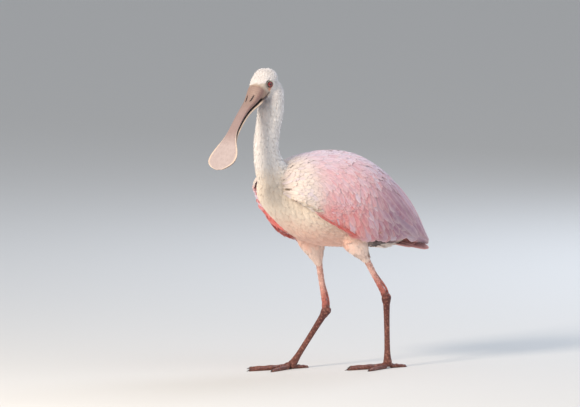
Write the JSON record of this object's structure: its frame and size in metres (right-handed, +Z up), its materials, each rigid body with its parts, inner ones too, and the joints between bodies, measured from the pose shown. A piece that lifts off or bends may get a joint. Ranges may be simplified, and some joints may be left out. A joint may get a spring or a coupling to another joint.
{
  "type": "roseate spoonbill",
  "caption": "Still, life-size roseate spoonbill in a walking pose, head turned to its left, spoon-shaped bill held low, wings folded, standing on its own feet.",
  "frame": {"origin": "middle of the bottom of the bounding box, on the floor the bird stands on", "axes": "+Z up, the bird walks towards -Y, and its left side is on +X"},
  "size_m": [0.1732, 0.453, 0.4898],
  "materials": {
    "white_plumage": "soft white feathers of the head and neck",
    "breast_plumage": "soft cream to peach feathers",
    "pink_plumage": "smooth pale pink to rose vanes",
    "bill_horn": "satin grey-pink horn",
    "leg_skin": "smooth pinkish-red skin",
    "foot_skin": "dark red-brown scaly skin",
    "iris": "wet red iris with a black pupil"
  },
  "bodies": {
    "root": {"torso": "breast_plumage", "neck": "white_plumage", "head": "white_plumage", "bill_upper": "bill_horn", "bill_lower": "bill_horn", "eye_left": "iris", "eye_right": "iris", "wing_left": "pink_plumage", "wing_right": "pink_plumage", "tail": "pink_plumage", "thigh_left": "breast_plumage", "thigh_right": "breast_plumage", "tibia_left": "leg_skin", "tibia_right": "leg_skin", "tarsus_left": "foot_skin", "tarsus_right": "foot_skin", "toe_middle_left": "foot_skin", "toe_outer_left": "foot_skin", "toe_inner_left": "foot_skin", "toe_hind_left": "foot_skin", "toe_middle_right": "foot_skin", "toe_outer_right": "foot_skin", "toe_inner_right": "foot_skin", "toe_hind_right": "foot_skin"}
  },
  "joints": []
}
